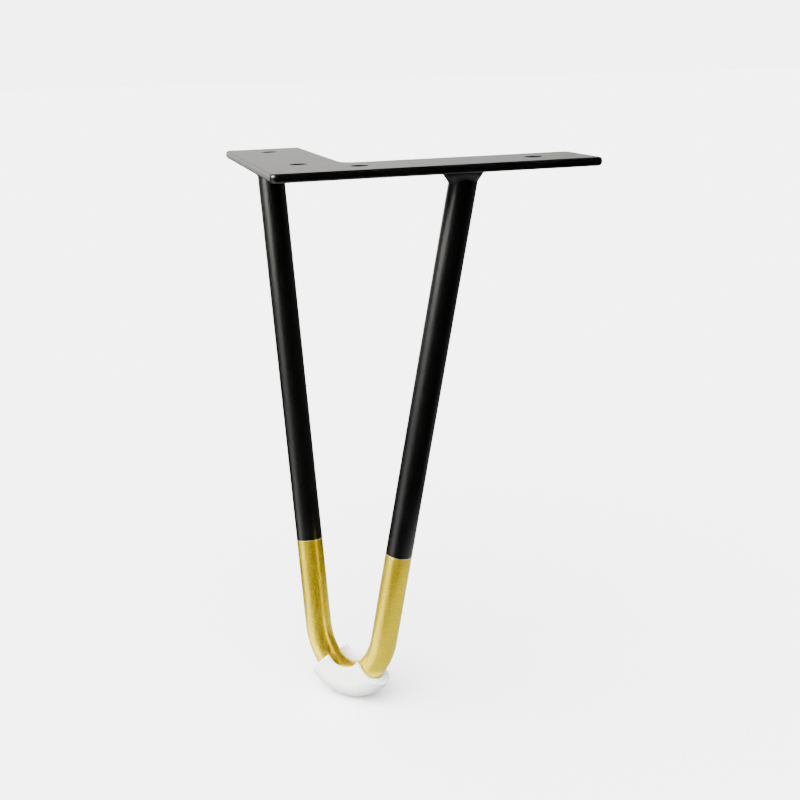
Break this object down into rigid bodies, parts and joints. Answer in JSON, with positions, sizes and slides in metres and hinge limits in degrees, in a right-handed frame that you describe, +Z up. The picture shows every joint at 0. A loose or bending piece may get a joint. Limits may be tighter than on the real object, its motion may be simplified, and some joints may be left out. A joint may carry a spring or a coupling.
{
  "type": "hairpin table leg",
  "caption": "Short hairpin table leg: a round bar bent into a V, welded under an L-shaped plate with screw holes, with a moulded white foot clip on the bend.",
  "frame": {"origin": "on the plate's top face, where its two rows of holes cross", "axes": "+Z up out of the top face, into the table; +X along the front arm and +Y along the rear arm of the plate; the bar hangs down along -Z"},
  "size_m": [0.138, 0.138, 0.2443],
  "materials": {
    "plate_paint": "satin black powder coat",
    "rod_paint": "satin black, with metallic gold paint over the lower quarter",
    "weld_paint": "satin black powder coat over an uneven weld",
    "cap_plastic": "matte white, slightly translucent"
  },
  "bodies": {
    "root": {"mounting_plate": "plate_paint", "hairpin_rod": "rod_paint", "weld_bead_front": "weld_paint", "weld_bead_rear": "weld_paint", "foot_cap": "cap_plastic"}
  },
  "joints": []
}
